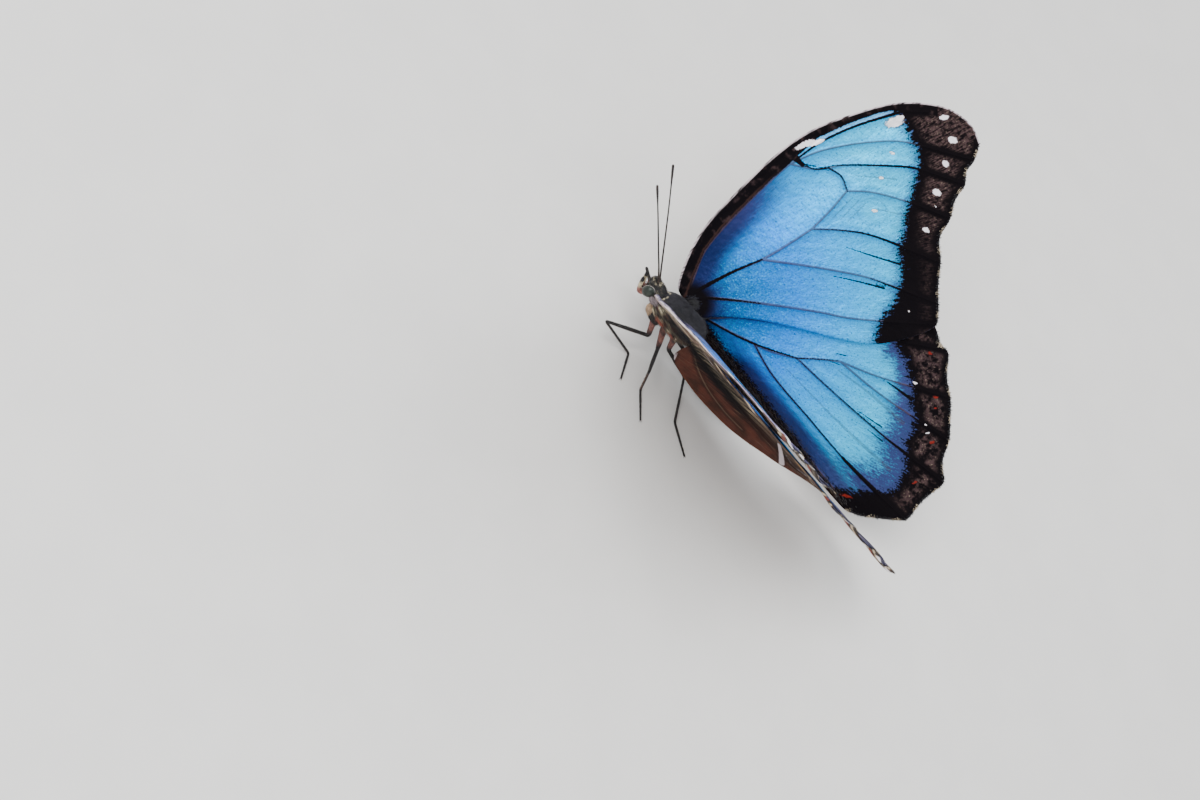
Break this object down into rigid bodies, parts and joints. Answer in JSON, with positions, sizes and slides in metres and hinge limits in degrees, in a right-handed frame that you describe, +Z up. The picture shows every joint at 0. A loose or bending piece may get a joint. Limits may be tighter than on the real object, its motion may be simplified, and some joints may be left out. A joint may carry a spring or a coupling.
{
  "type": "blue morpho butterfly",
  "caption": "Life-size still model of a blue morpho butterfly standing on its six feet with its wings raised in a V.",
  "frame": {"origin": "centre of the bounding box's bottom face, on the floor that the feet stand on", "axes": "+Z up, the head towards -X, the butterfly's left side towards -Y, mirror plane at y = 0"},
  "size_m": [0.0938, 0.0996, 0.0621],
  "materials": {
    "body_fur": "short dark grey-brown fur, matt",
    "abdomen_fur": "short brown fur over soft rings, matt",
    "eye": "dark faceted eye, softly glossy",
    "palp": "pinkish and cream scales, matt",
    "tongue": "dark brown, slightly glossy",
    "antenna": "near-black, fine rings, slightly glossy",
    "leg": "dark brown scales with a paler underside",
    "forewing": "metallic blue scales above with a dark border, patterned brown scales below",
    "hindwing": "metallic blue scales above with a dark border, patterned brown scales below"
  },
  "bodies": {
    "root": {"head": "body_fur", "thorax": "body_fur", "abdomen": "abdomen_fur", "proboscis": "tongue", "eye_left": "eye", "palp_left": "palp", "antenna_left": "antenna", "forewing_left": "forewing", "hindwing_left": "hindwing", "eye_right": "eye", "palp_right": "palp", "antenna_right": "antenna", "forewing_right": "forewing", "hindwing_right": "hindwing", "foreleg_coxa_left": "leg", "foreleg_coxa_right": "leg", "foreleg_femur_left": "leg", "foreleg_femur_right": "leg", "foreleg_tibia_left": "leg", "foreleg_tibia_right": "leg", "foreleg_tarsus_left": "leg", "foreleg_tarsus_right": "leg", "middleleg_coxa_left": "leg", "middleleg_coxa_right": "leg", "middleleg_femur_left": "leg", "middleleg_femur_right": "leg", "middleleg_tibia_left": "leg", "middleleg_tibia_right": "leg", "middleleg_tarsus_left": "leg", "middleleg_tarsus_right": "leg", "hindleg_coxa_left": "leg", "hindleg_coxa_right": "leg", "hindleg_femur_left": "leg", "hindleg_femur_right": "leg", "hindleg_tibia_left": "leg", "hindleg_tibia_right": "leg", "hindleg_tarsus_left": "leg", "hindleg_tarsus_right": "leg"}
  },
  "joints": []
}
